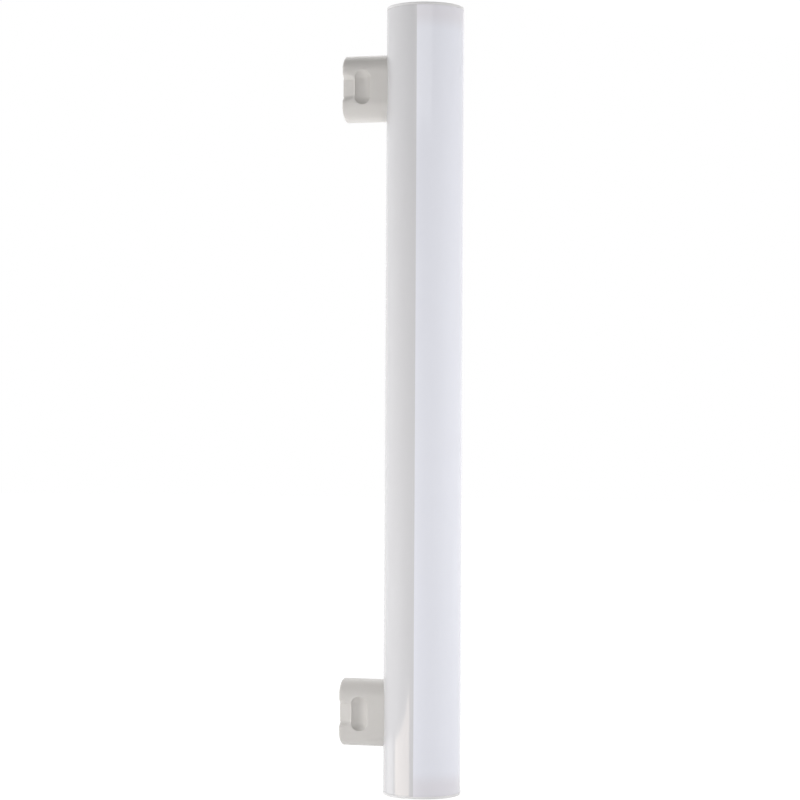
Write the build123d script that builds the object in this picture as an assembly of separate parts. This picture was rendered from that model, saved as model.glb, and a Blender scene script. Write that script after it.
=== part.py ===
"""Straight tubular lamp with a side peg base near each end.

The lamp stands upright on its lower end. +Z runs up the tube, the two peg bases point towards -X and
the light leaves towards +X. The origin is the centre of the lower end face, on the tube's axis.
All sizes are millimetres.
"""
import os

from build123d import *

# Tube
LAMP_LENGTH = 300.0
TUBE_DIAMETER = 29.5
TUBE_WALL = 1.5

# End caps: a thin flange on the tube's end and a spigot inside its wall
FLANGE_THICKNESS = 1.0
FLANGE_EDGE_BREAK = 0.4
SPIGOT_DEPTH = 6.0
SPIGOT_LEAD = 0.6
SPIGOT_CLEARANCE = 0.1

# Peg bases: racetrack pegs that plug into the lampholders
BASE_SPACING = 239.3
BASE_LENGTH = 25.6
BASE_WIDTH = 14.0
BASE_REACH = 31.2
TIP_EDGE_BREAK = 0.5

# Neck of a peg base, let into the tube's wall
NECK_LENGTH = 20.0
NECK_WIDTH = 9.0
NECK_DEPTH = 4.0
NECK_CLEARANCE = 0.1

# Detent on each flat side of a peg, where the lampholder's springs snap in
DETENT_LENGTH = 13.2
DETENT_WIDTH = 6.5
DETENT_DEPTH = 2.1
DETENT_FROM_TIP = 8.2

# Lead-in ramp: a pocket with sloping sides, open at the tip, whose floor rises to the detent
RAMP_LENGTH = 4.75
RAMP_WIDTH = 7.0
RAMP_TIP_DEPTH = 2.2
RAMP_CREST_DEPTH = 0.8
RAMP_CORNER_RADIUS = 1.0
RAMP_RIM_RADIUS = 1.0
RAMP_DRAFT_ANGLE = 40.0

# Contact well in the middle of the tip, and the contact rivet at its floor
WELL_DIAMETER = 6.0
WELL_DEPTH = 3.0
CONTACT_HEAD_DIAMETER = 5.0
CONTACT_HEAD_THICKNESS = 1.0
CONTACT_SHANK_DIAMETER = 2.4
CONTACT_EDGE_BREAK = 0.2
CONTACT_CLEARANCE = 0.05

# Sizes that follow from those above
TUBE_RADIUS = TUBE_DIAMETER / 2
BORE_RADIUS = TUBE_RADIUS - TUBE_WALL
NECK_FLOOR = TUBE_RADIUS - NECK_DEPTH
WELL_FLOOR = BASE_REACH - WELL_DEPTH
CONTACT_SEAT = WELL_FLOOR - CONTACT_HEAD_THICKNESS
LOWER_BASE_HEIGHT = (LAMP_LENGTH - BASE_SPACING) / 2
UPPER_BASE_HEIGHT = LOWER_BASE_HEIGHT + BASE_SPACING
ABOVE_TIP = BASE_REACH

LOWER_END = Plane.XY
UPPER_END = Plane(origin=(0, 0, LAMP_LENGTH), x_dir=(1, 0, 0), z_dir=(0, 0, -1))


def disc(radius, start, height):
    """Cylinder on the local z axis that begins at the height `start`."""
    return extrude(Pos(0, 0, start) * Circle(radius), height)


def base_axis(height):
    """Plane on the tube's axis: its normal points out along a peg base and its x runs up the tube."""
    return Plane(origin=(0, 0, height), x_dir=(0, 0, 1), z_dir=(-1, 0, 0))


def tube():
    """Sealed opal tube: closed inside, with a socket at each end and a pocket behind each peg base."""
    body = disc(TUBE_RADIUS, FLANGE_THICKNESS, LAMP_LENGTH - 2 * FLANGE_THICKNESS)
    socket = disc(BORE_RADIUS, FLANGE_THICKNESS, SPIGOT_DEPTH + SPIGOT_CLEARANCE)
    body -= LOWER_END * socket
    body -= UPPER_END * socket
    outline = SlotOverall(NECK_LENGTH + 2 * NECK_CLEARANCE, NECK_WIDTH + 2 * NECK_CLEARANCE)
    pocket = extrude(Pos(0, 0, NECK_FLOOR - NECK_CLEARANCE) * outline, TUBE_RADIUS)
    body -= base_axis(LOWER_BASE_HEIGHT) * pocket
    body -= base_axis(UPPER_BASE_HEIGHT) * pocket
    return body


def end_cap():
    """Moulded plug with its outer face on the local xy plane: thin flange and lead-in spigot."""
    flange = disc(TUBE_RADIUS, 0, FLANGE_THICKNESS)
    flange = chamfer(flange.faces().sort_by(Axis.Z)[0].edges(), FLANGE_EDGE_BREAK)
    spigot = disc(BORE_RADIUS - SPIGOT_CLEARANCE, FLANGE_THICKNESS, SPIGOT_DEPTH)
    spigot = chamfer(spigot.faces().sort_by(Axis.Z)[-1].edges(), SPIGOT_LEAD)
    return flange + spigot


def detent(side):
    """Cutter for the scooped oblong detent in the flat face on the given side (+1 or -1 in y)."""
    half_width = DETENT_WIDTH / 2
    scoop_radius = (half_width**2 + DETENT_DEPTH**2) / (2 * DETENT_DEPTH)
    half_run = (DETENT_LENGTH - DETENT_WIDTH) / 2
    scoop = Rot(0, 90, 0) * Cylinder(scoop_radius, 2 * half_run)
    for end in (-half_run, half_run):
        scoop += Pos(end, 0, 0) * Sphere(scoop_radius)
    from_middle = BASE_WIDTH / 2 + scoop_radius - DETENT_DEPTH
    return Pos(0, side * from_middle, BASE_REACH - DETENT_FROM_TIP) * scoop


def lead_in_ramp(side):
    """Cutter for the ramp pocket in the flat face on the given side, open at the tip."""
    crest = Vector(0, side * (BASE_WIDTH / 2 - RAMP_CREST_DEPTH), BASE_REACH - RAMP_LENGTH)
    foot = Vector(0, side * (BASE_WIDTH / 2 - RAMP_TIP_DEPTH), BASE_REACH)
    downhill = foot - crest
    floor_frame = Plane(origin=crest, x_dir=downhill, z_dir=downhill.cross(Vector(side, 0, 0)))
    past_tip = 2 * RAMP_LENGTH
    floor = Pos(past_tip / 2, 0) * RectangleRounded(past_tip, RAMP_WIDTH, RAMP_CORNER_RADIUS)
    return extrude(floor_frame * floor, 2 * RAMP_TIP_DEPTH, taper=-RAMP_DRAFT_ANGLE)


def with_ramp(peg, side):
    """The peg with a ramp cut into the flat face on the given side and the rim that it leaves rounded."""
    peg -= lead_in_ramp(side)
    flat = peg.faces().sort_by(Axis((0, 0, 0), (0, side, 0)))[-1]
    lowest = BASE_REACH - 1.5 * RAMP_LENGTH
    highest = BASE_REACH - 2 * TIP_EDGE_BREAK
    rim = flat.edges().filter_by_position(Axis.Z, lowest, highest)
    return fillet(rim, RAMP_RIM_RADIUS)


def peg_base():
    """Moulded peg in its own frame: z points out of the tube, x runs along it."""
    peg = extrude(SlotOverall(BASE_LENGTH, BASE_WIDTH), BASE_REACH)
    peg = chamfer(peg.faces().sort_by(Axis.Z)[-1].edges(), TIP_EDGE_BREAK)
    peg -= Rot(0, 90, 0) * Cylinder(TUBE_RADIUS, 2 * BASE_LENGTH)
    peg += extrude(Pos(0, 0, NECK_FLOOR) * SlotOverall(NECK_LENGTH, NECK_WIDTH), NECK_DEPTH)
    for side in (-1, 1):
        peg = with_ramp(peg, side)
        peg -= detent(side)
    peg -= disc(WELL_DIAMETER / 2, WELL_FLOOR, ABOVE_TIP)
    peg -= disc(CONTACT_HEAD_DIAMETER / 2 + CONTACT_CLEARANCE, CONTACT_SEAT, ABOVE_TIP)
    peg -= disc(CONTACT_SHANK_DIAMETER / 2 + CONTACT_CLEARANCE, 0, BASE_REACH)
    return peg


def contact():
    """Contact rivet: a flat head flush with the well's floor and a shank through to the neck's end."""
    head = disc(CONTACT_HEAD_DIAMETER / 2, CONTACT_SEAT, CONTACT_HEAD_THICKNESS)
    head = chamfer(head.faces().sort_by(Axis.Z)[-1].edges(), CONTACT_EDGE_BREAK)
    shank = disc(CONTACT_SHANK_DIAMETER / 2, NECK_FLOOR, CONTACT_SEAT - NECK_FLOOR)
    return head + shank


PARTS = {
    "tube": tube(),
    "lower_end_cap": LOWER_END * end_cap(),
    "upper_end_cap": UPPER_END * end_cap(),
    "lower_peg_base": base_axis(LOWER_BASE_HEIGHT) * peg_base(),
    "upper_peg_base": base_axis(UPPER_BASE_HEIGHT) * peg_base(),
    "lower_contact": base_axis(LOWER_BASE_HEIGHT) * contact(),
    "upper_contact": base_axis(UPPER_BASE_HEIGHT) * contact(),
}

os.makedirs("parts", exist_ok=True)
for name, shape in PARTS.items():
    export_step(shape, f"parts/{name}.step")
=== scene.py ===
"""Tubular lamp with two side peg bases, dressed and lit for a studio picture.

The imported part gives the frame: the lamp stands on its lower end, +Z runs up the tube, and the peg bases
point towards -X. Lengths are in metres. Values named ..._MM are in millimetres, and mm() turns those into
metres.
"""

import math

import bpy
from mathutils import Matrix, Vector


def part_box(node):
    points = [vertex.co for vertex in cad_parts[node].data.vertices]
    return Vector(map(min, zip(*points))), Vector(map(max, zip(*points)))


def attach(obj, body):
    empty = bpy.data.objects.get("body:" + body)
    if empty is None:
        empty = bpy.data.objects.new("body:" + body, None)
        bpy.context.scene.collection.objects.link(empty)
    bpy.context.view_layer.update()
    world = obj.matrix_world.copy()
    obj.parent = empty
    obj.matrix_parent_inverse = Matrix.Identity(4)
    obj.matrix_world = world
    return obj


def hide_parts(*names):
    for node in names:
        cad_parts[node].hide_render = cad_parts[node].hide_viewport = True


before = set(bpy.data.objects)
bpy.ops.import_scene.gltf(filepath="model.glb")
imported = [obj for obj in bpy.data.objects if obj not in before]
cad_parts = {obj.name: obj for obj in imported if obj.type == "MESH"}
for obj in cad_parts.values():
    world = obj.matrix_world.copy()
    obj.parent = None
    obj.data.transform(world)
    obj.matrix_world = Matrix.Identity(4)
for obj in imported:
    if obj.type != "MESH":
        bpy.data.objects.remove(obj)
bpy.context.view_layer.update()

# Tube and end caps. The opal half begins a little to the front of the tube's axis.
TUBE_SIDES = 192
TUBE_WALL_MM = 1.5
TUBE_END_EDGE_MM = 0.12
TUBE_END_EDGE_STEPS = 2
TUBE_SMOOTH_DEG = 15
OPAL_FROM_MM = 0.4
SOCKET_DEPTH_MM = 6.1
CAP_EDGE_MM = 0.4
CAP_EDGE_STEPS = 4
CAP_RIM_MM = 0.3
CAP_SMOOTH_DEG = 40
SPIGOT_GAP_MM = 0.1
SPIGOT_LENGTH_MM = 6.0
SPIGOT_LEAD_MM = 0.6

# Pockets in the tube's wall that take the necks of the peg bases, and the cuts above and below them
NECK_POCKET_LENGTH_MM = 20.2
NECK_POCKET_WIDTH_MM = 9.2
NECK_POCKET_DEPTH_MM = 4.1
POCKET_SIDES = 32
POCKET_MARGIN_MM = 1.5

# Peg bases. The ramps' rims lie near the tip, off the middle and near the flat sides.
PEG_VOXEL_MM = 0.18
PEG_EDGE_SMOOTHING = 4
SADDLE_BAND_MM = 0.3
SADDLE_SINK_MM = 0.25
SADDLE_KEEP_MM = 0.6
RIM_REACH_MM = 5.0
RIM_INNER_MM = 3.2
RIM_OUTER_MM = 7.5
RIM_DEPTH_MM = 2.6
RIM_SMOOTHING = 40
SMOOTHING_FACTOR = 0.5
MERGE_MM = 0.001

# How well a face or an edge has to fit the place or the direction that it is picked by
PLACE_TOLERANCE_MM = 0.01
ALONG_AXIS = 0.99

# Surface marks. The mould's grain and the tumbling marks are drawn coarser than the real ones, so that they
# show in the picture.
DIE_LINE_WIDTH_MM = 1.2
DIE_LINE_STRETCH = 80
DIE_LINE_DEPTH_MM = 0.004
# Painted shade over the end plugs: where it begins and where it is full, in millimetres from the tube's
# ends
PLUG_SHADE_MM = 10.0
PLUG_SHADE_FULL_MM = 3.5
MOULD_GRAIN_MM = 0.5
MOULD_GRAIN_DEPTH_MM = 0.012
FILLER_CLOUD_MM = 5.0
TUMBLED_MARK_MM = 0.4

# White ground: its size and place, the share of its white that is its own, that white's level, and the
# light that it throws back
FLOOR_SIDE_MM = 8000
FLOOR_DROP_MM = 0.05
FLOOR_WHITE_SHARE = 0.88
FLOOR_GLOW = 1.1
FLOOR_BOUNCE = 0.32

# Surroundings: directions, levels of light, and the cosines of the angles from a direction at which a level
# begins and is full
UP = (0, 0, 1)
WALL_LEVEL = 0.43
WALL_TOP = 0.5
LEFT_FRONT = (-0.7, -0.7, 0)
LEFT_FRONT_LEVEL = 1.0
CEILING = (0, -0.5, 0.87)
CEILING_EDGE = 0.5
CEILING_MIDDLE = 0.9
CEILING_LEVEL = 0.15
SWEEP = (0, 0.6, 0.8)
SWEEP_EDGE = 0.72
SWEEP_MIDDLE = 0.95
SWEEP_LEVEL = 1.48

# Soft lights: name, then place, aim and size in millimetres, then watts
SOFTBOXES = (
    ("upper_left_softbox", (-315, 70, 315), (-20, 0, 150), (140, 140), 0.33),
    ("low_left_softbox", (-300, -150, 50), (0, 0, 50), (120, 80), 0.28),
    ("top_back_softbox", (-30, 250, 560), (-20, 0, 150), (200, 200), 0.71),
    ("right_softbox", (450, 100, 150), (0, 0, 150), (400, 400), 1.27),
    ("right_front_softbox", (450, -400, 150), (0, 0, 150), (400, 400), 0.50),
    ("back_ground_bounce", (-60, 220, 2), (-60, 220, 100), (400, 260), 0.71),
    ("front_ground_bounce", (0, -300, 2), (0, -300, 100), (500, 300), 0.16),
    ("left_front_softbox", (-180, -430, 150), (0, 0, 150), (160, 200), 0.12),
)

# Cards on the ground that the tube mirrors. Each edge is a line's place across the tube, as a share of its
# radius to the right of its axis, and the millimetres that the card reaches out there. A pleat's slope is
# a little over the steepest one at which the camera's view meets the ground by way of the tube.
BRIGHT_GROUND_EDGES = ((-0.325, 385), (-0.69, 172))
BRIGHT_GROUND_LEVEL = 4.2
PALE_GROUND_EDGES = ((-0.73, 172), (-0.88, 172))
PALE_GROUND_LEVEL = 2.1
CARD_HEIGHT_MM = 0.3
PLEATS = 600
PLEAT_SLOPE = 0.17

# Window in front of the lamp that the tube mirrors
WINDOW_AZIMUTH_DEG = 9.5
WINDOW_DISTANCE_MM = 1360
WINDOW_WIDTH_MM = 1270
WINDOW_BOTTOM_MM = 430
WINDOW_TOP_MM = 700
WINDOW_LEVEL = 1.84

# Camera
IMAGE_SIDE_PX = 800
FOCAL_PX = 2370
SENSOR_MM = 36.0
CLIP_NEAR_MM = 10
CLIP_FAR_MM = 50000
CAMERA_AZIMUTH_DEG = 14.5
CAMERA_DISTANCE_MM = 905
CAMERA_HEIGHT_MM = 137
CAMERA_ROLL_DEG = 0.30
AIM_HEIGHT_MM = 150
AIM_LEFT_MM = 9.0


def mm(length):
    """Millimetres as metres, for a number or a vector."""
    return length / 1000


def linear(colour):
    """sRGB hex colour such as "C8C4BE" as linear red, green, blue and alpha."""
    channels = [int(colour[i : i + 2], 16) / 255 for i in (0, 2, 4)]
    return [c / 12.92 if c <= 0.04045 else ((c + 0.055) / 1.055) ** 2.4 for c in channels] + [1.0]


def add_node(tree, kind, inputs=None, links=None, **settings):
    """Adds a node, sets its properties and input values, and links output sockets to its inputs."""
    node = tree.nodes.new(kind)
    for name, value in settings.items():
        setattr(node, name, value)
    for socket, value in (inputs or {}).items():
        node.inputs[socket].default_value = value
    for socket, output in (links or {}).items():
        tree.links.new(output, node.inputs[socket])
    return node


def new_material(name):
    """Empty material and its node tree."""
    material = bpy.data.materials.new(name)
    material.use_nodes = True
    material.node_tree.nodes.clear()
    return material, material.node_tree


def add_extrusion_lines(tree, shader):
    """Bumps the surface with the faint lengthwise lines that an extrusion die leaves."""
    place = add_node(tree, "ShaderNodeTexCoord").outputs["Object"]
    drawn_out = add_node(
        tree, "ShaderNodeMapping", {"Scale": (1, 1, 1 / DIE_LINE_STRETCH)}, {"Vector": place}
    )
    lines = add_node(
        tree,
        "ShaderNodeTexNoise",
        {"Scale": 1 / mm(DIE_LINE_WIDTH_MM), "Detail": 1.0},
        {"Vector": drawn_out.outputs[0]},
    )
    bump = add_node(
        tree,
        "ShaderNodeBump",
        {"Strength": 1.0, "Distance": mm(DIE_LINE_DEPTH_MM)},
        {"Height": lines.outputs[0]},
    )
    tree.links.new(bump.outputs[0], shader.inputs["Normal"])


def opal_polycarbonate():
    """Extruded opal polycarbonate: a milky, faintly blue diffuser with a smooth glossy skin.

    Over the end plugs less light comes back out of it; that shade is painted into its colour, which turns a
    little darker and warmer there.
    """
    material, tree = new_material("opal_polycarbonate_extruded")
    tube_low, tube_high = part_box("tube")
    half_length = (tube_high.z - tube_low.z) / 2
    shade_begins = half_length - mm(PLUG_SHADE_MM)
    shade_full = half_length - mm(PLUG_SHADE_FULL_MM)
    place = add_node(tree, "ShaderNodeTexCoord").outputs["Object"]
    height = add_node(tree, "ShaderNodeSeparateXYZ", links={0: place}).outputs["Z"]
    from_middle = add_node(
        tree, "ShaderNodeMath", {1: tube_low.z + half_length}, {0: height}, operation="SUBTRACT"
    )
    distance = add_node(tree, "ShaderNodeMath", links={0: from_middle.outputs[0]}, operation="ABSOLUTE")
    # Painted shade: over the end plugs the colour turns to the darker, warmer D8D6DC
    painted_plug_shade = add_node(
        tree,
        "ShaderNodeMapRange",
        {"From Min": shade_begins, "From Max": shade_full},
        {"Value": distance.outputs[0]},
        interpolation_type="SMOOTHSTEP",
    )
    colour = add_node(
        tree,
        "ShaderNodeMix",
        {"A": linear("DEDFE7"), "B": linear("D8D6DC")},
        {"Factor": painted_plug_shade.outputs[0]},
        data_type="RGBA",
    )
    shader = add_node(
        tree,
        "ShaderNodeBsdfPrincipled",
        {"Roughness": 0.08, "IOR": 1.58},
        {"Base Color": colour.outputs["Result"]},
    )
    add_extrusion_lines(tree, shader)
    add_node(tree, "ShaderNodeOutputMaterial", links={"Surface": shader.outputs[0]})
    return material


def white_polycarbonate():
    """Extruded opaque white polycarbonate: neutral, with the same smooth glossy skin."""
    material, tree = new_material("white_polycarbonate_extruded")
    shader = add_node(
        tree,
        "ShaderNodeBsdfPrincipled",
        {"Base Color": linear("C7C6C8"), "Roughness": 0.08, "IOR": 1.58},
    )
    add_extrusion_lines(tree, shader)
    add_node(tree, "ShaderNodeOutputMaterial", links={"Surface": shader.outputs[0]})
    return material


def add_moulded_grain(tree, shader):
    """Bumps the surface with the fine even grain of a spark-eroded mould."""
    place = add_node(tree, "ShaderNodeTexCoord").outputs["Object"]
    grain = add_node(
        tree, "ShaderNodeTexNoise", {"Scale": 1 / mm(MOULD_GRAIN_MM), "Detail": 2.0}, {"Vector": place}
    )
    bump = add_node(
        tree,
        "ShaderNodeBump",
        {"Strength": 1.0, "Distance": mm(MOULD_GRAIN_DEPTH_MM)},
        {"Height": grain.outputs[0]},
    )
    tree.links.new(bump.outputs[0], shader.inputs["Normal"])


def white_cap_plastic():
    """Injection-moulded white polycarbonate of the end caps: neutral and semi-gloss."""
    material, tree = new_material("white_polycarbonate_moulded")
    shader = add_node(
        tree,
        "ShaderNodeBsdfPrincipled",
        {"Base Color": linear("D9D8D8"), "Roughness": 0.4, "IOR": 1.5},
    )
    add_moulded_grain(tree, shader)
    add_node(tree, "ShaderNodeOutputMaterial", links={"Surface": shader.outputs[0]})
    return material


def grey_base_plastic():
    """Injection-moulded warm grey thermoset of the peg bases: satin, faintly clouded by its filler."""
    material, tree = new_material("grey_thermoset_moulded")
    place = add_node(tree, "ShaderNodeTexCoord").outputs["Object"]
    filler = add_node(
        tree, "ShaderNodeTexNoise", {"Scale": 1 / mm(FILLER_CLOUD_MM), "Detail": 3.0}, {"Vector": place}
    )
    colour = add_node(
        tree,
        "ShaderNodeMix",
        {"A": linear("C1BEBA"), "B": linear("C7C4C1")},
        {"Factor": filler.outputs[0]},
        data_type="RGBA",
    )
    shader = add_node(
        tree,
        "ShaderNodeBsdfPrincipled",
        {"Roughness": 0.4, "IOR": 1.5},
        {"Base Color": colour.outputs["Result"]},
    )
    add_moulded_grain(tree, shader)
    add_node(tree, "ShaderNodeOutputMaterial", links={"Surface": shader.outputs[0]})
    return material


def nickel_plate():
    """Nickel-plated brass rivet: pale warm metal with a fine satin from tumbling."""
    material, tree = new_material("nickel_plated_brass")
    place = add_node(tree, "ShaderNodeTexCoord").outputs["Object"]
    tumbling = add_node(
        tree, "ShaderNodeTexNoise", {"Scale": 1 / mm(TUMBLED_MARK_MM), "Detail": 4.0}, {"Vector": place}
    )
    roughness = add_node(
        tree, "ShaderNodeMapRange", {"To Min": 0.2, "To Max": 0.36}, {"Value": tumbling.outputs[0]}
    )
    shader = add_node(
        tree,
        "ShaderNodeBsdfPrincipled",
        {"Base Color": linear("D6D0C6"), "Metallic": 1.0},
        {"Roughness": roughness.outputs[0]},
    )
    add_node(tree, "ShaderNodeOutputMaterial", links={"Surface": shader.outputs[0]})
    return material


def start_piece(name):
    """Names the primitive that was just added, puts its place into its mesh and returns it."""
    piece = bpy.context.object
    piece.name = piece.data.name = name
    bpy.ops.object.transform_apply(location=True, rotation=True, scale=True)
    return piece


def deselect_all():
    """Leaves nothing selected, so that an operator acts on the next piece alone."""
    bpy.ops.object.select_all(action="DESELECT")


def pick(piece, kind, wanted):
    """Goes into edit mode on the piece with just the faces or edges selected that `wanted` accepts."""
    bpy.ops.object.mode_set(mode="OBJECT")
    bpy.context.tool_settings.mesh_select_mode = (False, kind == "edges", kind == "polygons")
    mesh = piece.data
    for items in (mesh.vertices, mesh.edges, mesh.polygons):
        items.foreach_set("select", [False] * len(items))
    for item in getattr(mesh, kind):
        if wanted(item):
            item.select = True
            for index in item.vertices:
                mesh.vertices[index].select = True
    bpy.ops.object.mode_set(mode="EDIT")


def pick_ring(piece, height, radius):
    """Goes into edit mode with the edges selected that lie on a ring round the z axis."""
    points = piece.data.vertices

    def on_ring(edge):
        ends = [points[index].co for index in edge.vertices]
        off_ring = [max(abs(end.z - height), abs(end.xy.length - radius)) for end in ends]
        return max(off_ring) < mm(PLACE_TOLERANCE_MM)

    pick(piece, "edges", on_ring)


def pick_disc(piece, height):
    """Goes into edit mode with the many-sided face selected that lies at a height."""

    def is_disc(face):
        return abs(face.center.z - height) < mm(PLACE_TOLERANCE_MM) and len(face.vertices) > 4

    pick(piece, "polygons", is_disc)


def neck_pocket(height, radius):
    """Racetrack cutter for the pocket that takes a peg base's neck."""
    deselect_all()
    half_width = mm(NECK_POCKET_WIDTH_MM) / 2
    stretch = mm(NECK_POCKET_LENGTH_MM) / 2 - half_width
    bpy.ops.mesh.primitive_cylinder_add(
        vertices=POCKET_SIDES,
        radius=half_width,
        depth=2 * mm(NECK_POCKET_DEPTH_MM),
        location=(-radius, 0, height),
        rotation=(0, math.radians(90), 0),
    )
    cutter = start_piece("neck_pocket")
    for vertex in cutter.data.vertices:
        vertex.co.z += math.copysign(stretch, vertex.co.z - height)
    return cutter


def model_tube(opal, white):
    """Lamp tube: sockets for the end caps, pockets for the peg bases, opal front and white back halves."""
    low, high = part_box("tube")
    radius = high.x
    deselect_all()
    bpy.ops.mesh.primitive_cylinder_add(
        vertices=TUBE_SIDES, radius=radius, depth=high.z - low.z, location=(0, 0, (low.z + high.z) / 2)
    )
    tube = start_piece("lamp_tube")
    pick(tube, "polygons", lambda face: abs(face.normal.z) > ALONG_AXIS)
    bpy.ops.mesh.inset(thickness=mm(TUBE_WALL_MM), use_individual=True)
    for end, inwards in ((low.z, 1), (high.z, -1)):
        pick_disc(tube, end)
        bpy.ops.mesh.extrude_region_move(
            TRANSFORM_OT_translate={"value": (0, 0, inwards * mm(SOCKET_DEPTH_MM))}
        )
        pick_ring(tube, end, radius)
        bpy.ops.mesh.bevel(offset=mm(TUBE_END_EDGE_MM), segments=TUBE_END_EDGE_STEPS)
    bpy.ops.object.mode_set(mode="OBJECT")
    for node in ("lower_peg_base", "upper_peg_base"):
        base_low, base_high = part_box(node)
        # Cuts above and below a pocket keep the faces that it splits short
        for level in (base_low.z - mm(POCKET_MARGIN_MM), base_high.z + mm(POCKET_MARGIN_MM)):
            bpy.ops.object.mode_set(mode="EDIT")
            bpy.ops.mesh.select_all(action="SELECT")
            bpy.ops.mesh.bisect(plane_co=(0, 0, level), plane_no=(0, 0, 1))
            bpy.ops.object.mode_set(mode="OBJECT")
        cutter = neck_pocket((base_low.z + base_high.z) / 2, radius)
        deselect_all()
        tube.select_set(True)
        bpy.context.view_layer.objects.active = tube
        pocket = tube.modifiers.new("neck_pocket", "BOOLEAN")
        pocket.object = cutter
        bpy.ops.object.modifier_apply(modifier=pocket.name)
        bpy.data.objects.remove(cutter)
    tube.data.materials.append(opal)
    tube.data.materials.append(white)
    for face in tube.data.polygons:
        face.material_index = 0 if face.center.x > mm(OPAL_FROM_MM) else 1
    bpy.ops.object.shade_smooth_by_angle(angle=math.radians(TUBE_SMOOTH_DEG))
    return tube


def model_end_cap(material):
    """Lower end cap: a thin flange with a rounded edge, and the spigot that fills the tube's socket."""
    low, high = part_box("lower_end_cap")
    flange_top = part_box("tube")[0].z
    radius = high.x
    spigot_inset = mm(TUBE_WALL_MM + SPIGOT_GAP_MM)
    deselect_all()
    bpy.ops.mesh.primitive_cylinder_add(
        vertices=TUBE_SIDES,
        radius=radius,
        depth=flange_top - low.z,
        location=(0, 0, (flange_top + low.z) / 2),
    )
    cap = start_piece("lower_cap")
    pick(cap, "polygons", lambda face: face.normal.z > ALONG_AXIS)
    bpy.ops.mesh.inset(thickness=spigot_inset)
    bpy.ops.mesh.extrude_region_move(TRANSFORM_OT_translate={"value": (0, 0, mm(SPIGOT_LENGTH_MM))})
    pick_ring(cap, high.z, radius - spigot_inset)
    bpy.ops.mesh.bevel(offset=mm(SPIGOT_LEAD_MM), segments=1)
    pick_ring(cap, low.z, radius)
    bpy.ops.mesh.bevel(offset=mm(CAP_EDGE_MM), segments=CAP_EDGE_STEPS)
    pick(cap, "polygons", lambda face: face.normal.z < -ALONG_AXIS)
    bpy.ops.mesh.inset(thickness=mm(CAP_RIM_MM))
    bpy.ops.object.mode_set(mode="OBJECT")
    cap.data.materials.append(material)
    bpy.ops.object.shade_smooth_by_angle(angle=math.radians(CAP_SMOOTH_DEG))
    return cap


def copy_piece(piece, name, matrix):
    """Copy of a piece with a mesh of its own, moved by a matrix in its mesh."""
    twin = piece.copy()
    twin.data = piece.data.copy()
    twin.name = twin.data.name = name
    twin.data.transform(matrix)
    bpy.context.scene.collection.objects.link(twin)
    return twin


def model_peg_base(material):
    """Lower peg base: the solid's own form with its edges softened as a moulding's are.

    Its saddle stays sharp and is let into the tube by a hair, so that no dark gap shows where they meet.
    """
    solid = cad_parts["lower_peg_base"].data
    tube_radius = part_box("tube")[1].x
    low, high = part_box("lower_peg_base")
    middle = (low.z + high.z) / 2

    def on_ramp_rim(face):
        near_tip = face.center.x < low.x + mm(RIM_REACH_MM)
        near_side = abs(face.center.y) > high.y - mm(RIM_DEPTH_MM)
        off_middle = abs(face.center.z - middle)
        return near_tip and near_side and mm(RIM_INNER_MM) < off_middle < mm(RIM_OUTER_MM)

    deselect_all()
    peg = bpy.data.objects.new("lower_peg", solid.copy())
    bpy.context.scene.collection.objects.link(peg)
    peg.data.name = peg.name
    peg.data.materials.clear()
    peg.select_set(True)
    bpy.context.view_layer.objects.active = peg
    bpy.ops.mesh.customdata_custom_splitnormals_clear()
    bpy.ops.object.mode_set(mode="EDIT")
    bpy.ops.mesh.select_all(action="SELECT")
    bpy.ops.mesh.remove_doubles(threshold=mm(MERGE_MM))
    bpy.ops.object.mode_set(mode="OBJECT")
    peg.data.remesh_voxel_size = mm(PEG_VOXEL_MM)
    bpy.ops.object.voxel_remesh()
    pick(peg, "polygons", lambda face: abs(face.center.xy.length - tube_radius) < mm(SADDLE_BAND_MM))
    bpy.ops.transform.translate(value=(mm(SADDLE_SINK_MM), 0, 0))
    pick(peg, "polygons", lambda face: face.center.xy.length > tube_radius + mm(SADDLE_KEEP_MM))
    bpy.ops.mesh.vertices_smooth(factor=SMOOTHING_FACTOR, repeat=PEG_EDGE_SMOOTHING)
    pick(peg, "polygons", on_ramp_rim)
    bpy.ops.mesh.vertices_smooth(factor=SMOOTHING_FACTOR, repeat=RIM_SMOOTHING)
    bpy.ops.object.mode_set(mode="OBJECT")
    peg.data.materials.append(material)
    bpy.ops.object.shade_smooth()
    return peg


def dress_lamp():
    """Dresses every node and returns the tube."""
    tube = model_tube(opal_polycarbonate(), white_polycarbonate())
    cap = model_end_cap(white_cap_plastic())
    lamp_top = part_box("upper_end_cap")[1].z
    turn_over = Matrix.Translation((0, 0, lamp_top)) @ Matrix.Rotation(math.pi, 4, "X")
    upper_cap = copy_piece(cap, "upper_cap", turn_over)
    peg = model_peg_base(grey_base_plastic())
    up_one_spacing = Matrix.Translation(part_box("upper_peg_base")[0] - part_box("lower_peg_base")[0])
    upper_peg = copy_piece(peg, "upper_peg", up_one_spacing)
    for piece, node, slot in (
        (tube, "tube", "opal_tube"),
        (cap, "lower_end_cap", "white_end_cap"),
        (upper_cap, "upper_end_cap", "white_end_cap"),
        (peg, "lower_peg_base", "base_moulding"),
        (upper_peg, "upper_peg_base", "base_moulding"),
    ):
        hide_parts(node)
        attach(piece, "root")

    plating = nickel_plate()
    for name in ("lower_contact", "upper_contact"):
        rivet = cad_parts[name].data
        rivet.materials.clear()
        rivet.materials.append(plating)
    return tube


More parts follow.
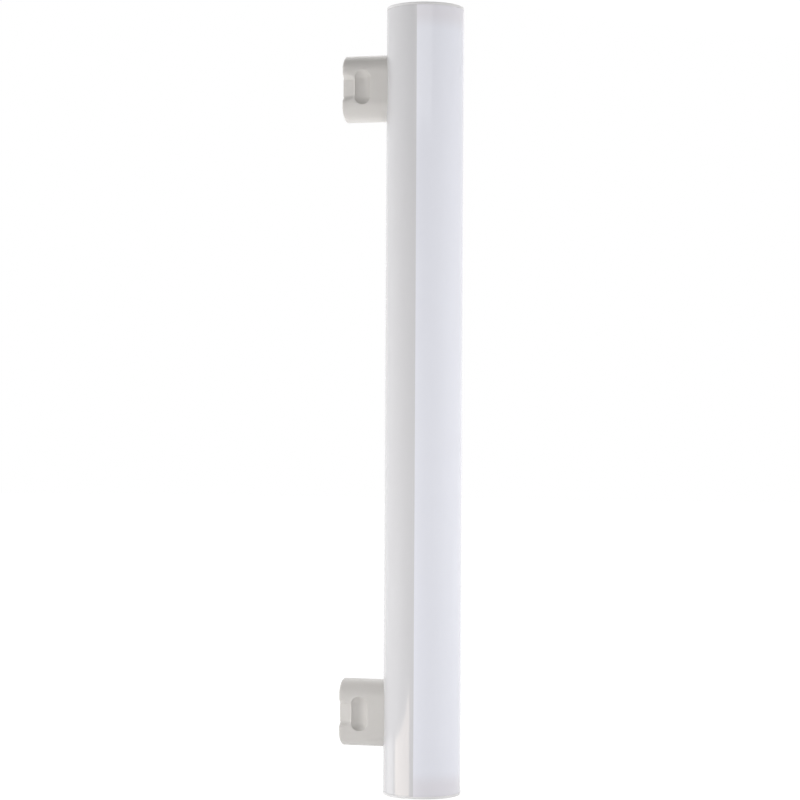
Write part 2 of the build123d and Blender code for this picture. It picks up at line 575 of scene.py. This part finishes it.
def background_rays(tree):
    """1 for camera, mirror-like and see-through rays, so that they all meet the same white ground."""
    path = add_node(tree, "ShaderNodeLightPath")
    seen = add_node(
        tree,
        "ShaderNodeMath",
        links={0: path.outputs["Is Camera Ray"], 1: path.outputs["Is Glossy Ray"]},
        operation="MAXIMUM",
    )
    return add_node(
        tree,
        "ShaderNodeMath",
        links={0: seen.outputs[0], 1: path.outputs["Is Transmission Ray"]},
        operation="MAXIMUM",
    ).outputs[0]


def white_floor():
    """Seamless white ground. Part of its white is its own, so that the lamp's soft shadow still shows."""
    deselect_all()
    bpy.ops.mesh.primitive_plane_add(size=mm(FLOOR_SIDE_MM), location=(0, 0, -mm(FLOOR_DROP_MM)))
    floor = start_piece("floor")
    material, tree = new_material("white_studio_ground")
    seen = background_rays(tree)
    share = add_node(tree, "ShaderNodeMath", {1: FLOOR_WHITE_SHARE}, {0: seen}, operation="MULTIPLY")
    paint = add_node(tree, "ShaderNodeBsdfDiffuse", {"Color": linear("FAFAFA")})
    bounce = add_node(tree, "ShaderNodeEmission", {"Strength": FLOOR_BOUNCE})
    lit = add_node(tree, "ShaderNodeAddShader", links={0: paint.outputs[0], 1: bounce.outputs[0]})
    glow = add_node(tree, "ShaderNodeEmission", {"Strength": FLOOR_GLOW})
    mixed = add_node(
        tree, "ShaderNodeMixShader", links={0: share.outputs[0], 1: lit.outputs[0], 2: glow.outputs[0]}
    )
    add_node(tree, "ShaderNodeOutputMaterial", links={"Surface": mixed.outputs[0]})
    floor.data.materials.append(material)


def level_towards(tree, direction, span, levels):
    """Brightness of the surroundings that goes from one level to another as the view nears a direction."""
    view = add_node(tree, "ShaderNodeTexCoord").outputs["Generated"]
    nearness = add_node(tree, "ShaderNodeVectorMath", {1: direction}, {0: view}, operation="DOT_PRODUCT")
    return add_node(
        tree,
        "ShaderNodeMapRange",
        {"From Min": span[0], "From Max": span[1], "To Min": levels[0], "To Max": levels[1]},
        {"Value": nearness.outputs["Value"]},
    ).outputs[0]


def white_surround():
    """White all round: what lights the lamp, and apart from it what the lamp mirrors.

    The walls light it, most of all from the left front. In its reflection the ceiling in front is dark
    and the white sweep behind is bright.
    """
    world = bpy.data.worlds.new("white_surround")
    bpy.context.scene.world = world
    world.use_nodes = True
    tree = world.node_tree
    tree.nodes.clear()
    white = {"Color": linear("FFFFFF")}
    walls = level_towards(tree, UP, (0.0, WALL_TOP), (WALL_LEVEL, 0.0))
    left_front = level_towards(tree, LEFT_FRONT, (0.0, 1.0), (0.0, LEFT_FRONT_LEVEL))
    light = add_node(tree, "ShaderNodeMath", links={0: walls, 1: left_front})
    lit = add_node(tree, "ShaderNodeBackground", white, {"Strength": light.outputs[0]})
    ceiling = level_towards(tree, CEILING, (CEILING_EDGE, CEILING_MIDDLE), (1.0, CEILING_LEVEL))
    sweep = level_towards(tree, SWEEP, (SWEEP_EDGE, SWEEP_MIDDLE), (0.0, SWEEP_LEVEL))
    shown = add_node(tree, "ShaderNodeMath", links={0: ceiling, 1: sweep})
    seen = add_node(tree, "ShaderNodeBackground", white, {"Strength": shown.outputs[0]})
    mixed = add_node(
        tree, "ShaderNodeMixShader", links={0: background_rays(tree), 1: lit.outputs[0], 2: seen.outputs[0]}
    )
    add_node(tree, "ShaderNodeOutputWorld", links={"Surface": mixed.outputs[0]})


def softbox(name, place_mm, aim_mm, size_mm, watts):
    """Rectangular soft light aimed at a point; neither the camera nor a mirror sees it."""
    light = bpy.data.lights.new(name, "AREA")
    light.shape = "RECTANGLE"
    light.size, light.size_y = (mm(side) for side in size_mm)
    light.energy = watts
    box = bpy.data.objects.new(name, light)
    place = mm(Vector(place_mm))
    box.location = place
    box.rotation_euler = (mm(Vector(aim_mm)) - place).to_track_quat("-Z", "Y").to_euler()
    box.visible_camera = False
    box.visible_glossy = False
    bpy.context.scene.collection.objects.link(box)


def plain_glow(name, level, colour):
    """Even glow of a card."""
    material, tree = new_material(name)
    glow = add_node(tree, "ShaderNodeEmission", {"Color": linear(colour), "Strength": level})
    add_node(tree, "ShaderNodeOutputMaterial", links={"Surface": glow.outputs[0]})
    return material


def show_only_in(mirror, card):
    """Lets a card show only as a reflection in one glossy piece, and screens it from the others."""
    card.visible_camera = False
    card.visible_diffuse = False
    card.visible_shadow = False
    receivers = bpy.data.collections.new(card.name)
    receivers.objects.link(mirror)
    card.light_linking.receiver_collection = receivers


def level_axes(azimuth_deg):
    """Level unit vectors from the lamp out to an azimuth, and to the right as seen from there."""
    azimuth = math.radians(azimuth_deg)
    towards = Vector((math.sin(azimuth), -math.cos(azimuth), 0))
    right = Vector((math.cos(azimuth), math.sin(azimuth), 0))
    return towards, right


def mirrored_ground(edges):
    """Corners of the patch of ground that the camera sees mirrored between two lines along the tube."""
    towards, right = level_axes(CAMERA_AZIMUTH_DEG)
    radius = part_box("tube")[1].x
    above_ground = Vector((0, 0, mm(CARD_HEIGHT_MM)))
    corners = []
    for share, reach_mm in edges:
        # Where the wall has turned away from the view by an angle, it mirrors the view off by twice that
        turn = math.asin(share)
        foot = (towards * math.cos(turn) + right * share) * radius + above_ground
        out = towards * math.cos(2 * turn) + right * math.sin(2 * turn)
        corners += [foot, foot + out * mm(reach_mm)]
    return corners


def pleated_card(name, mirror, edges, level, colour):
    """Card on the ground in fine pleats that one glossy piece mirrors.

    Its upright folds glow towards low views, and the slack folds behind them are as white as the ground,
    so that from above hardly more than a white ground is mirrored.
    """
    corners = mirrored_ground(edges)
    deselect_all()
    bpy.ops.mesh.primitive_grid_add(x_subdivisions=1, y_subdivisions=2 * PLEATS - 1)
    card = start_piece(name)
    # The grid has two vertices a row. Even rows are the feet of the upright folds, odd rows their tops.
    for index, vertex in enumerate(card.data.vertices):
        row, side = divmod(index, 2)
        near, far = corners[2 * side : 2 * side + 2]
        pitch = (far - near) / PLEATS
        rise = PLEAT_SLOPE * pitch.length * (row % 2)
        vertex.co = near + pitch * (row // 2) + Vector((0, 0, rise))
    card.data.materials.append(plain_glow(name, level, colour))
    card.data.materials.append(plain_glow(name + "_slack", FLOOR_GLOW, "FFFFFF"))
    for face in card.data.polygons:
        first_row = min(face.vertices) // 2
        face.material_index = first_row % 2
    show_only_in(mirror, card)


def window_card(name, mirror):
    """Upright bright window that faces the lamp and that one glossy piece mirrors."""
    towards, right = level_axes(WINDOW_AZIMUTH_DEG)
    middle = towards * mm(WINDOW_DISTANCE_MM)
    half = right * mm(WINDOW_WIDTH_MM / 2)
    heights = [Vector((0, 0, mm(height))) for height in (WINDOW_BOTTOM_MM, WINDOW_TOP_MM)]
    corners = [middle + half * side + height for height in heights for side in (-1, 1)]
    deselect_all()
    bpy.ops.mesh.primitive_plane_add()
    card = start_piece(name)
    for vertex, corner in zip(card.data.vertices, corners):
        vertex.co = corner
    card.data.materials.append(plain_glow(name, WINDOW_LEVEL, "FFFFFF"))
    show_only_in(mirror, card)


def studio_lights(tube):
    """Soft lights all round, and the cards that only the tube mirrors."""
    for light in SOFTBOXES:
        softbox(*light)
    pleated_card("bright_ground", tube, BRIGHT_GROUND_EDGES, BRIGHT_GROUND_LEVEL, "FFF2E6")
    pleated_card("pale_ground", tube, PALE_GROUND_EDGES, PALE_GROUND_LEVEL, "FFFFFF")
    window_card("high_window", tube)


def place_camera():
    """Camera at the photograph's viewing angle."""
    towards, right = level_axes(CAMERA_AZIMUTH_DEG)
    place = towards * mm(CAMERA_DISTANCE_MM) + Vector((0, 0, mm(CAMERA_HEIGHT_MM)))
    aim = Vector((0, 0, mm(AIM_HEIGHT_MM))) - right * mm(AIM_LEFT_MM)
    look = (aim - place).normalized()
    turn = look.to_track_quat("-Z", "Y").to_matrix()
    turn = turn @ Matrix.Rotation(math.radians(CAMERA_ROLL_DEG), 3, "Z")
    lens = bpy.data.cameras.new("camera")
    lens.sensor_width = SENSOR_MM
    lens.lens = FOCAL_PX / IMAGE_SIDE_PX * SENSOR_MM
    lens.clip_start, lens.clip_end = mm(CLIP_NEAR_MM), mm(CLIP_FAR_MM)
    camera = bpy.data.objects.new("camera", lens)
    camera.location = place
    camera.rotation_euler = turn.to_euler()
    bpy.context.scene.collection.objects.link(camera)
    bpy.context.scene.camera = camera


lamp_tube = dress_lamp()
white_floor()
white_surround()
studio_lights(lamp_tube)
place_camera()
bpy.context.scene.view_settings.view_transform = "Standard"
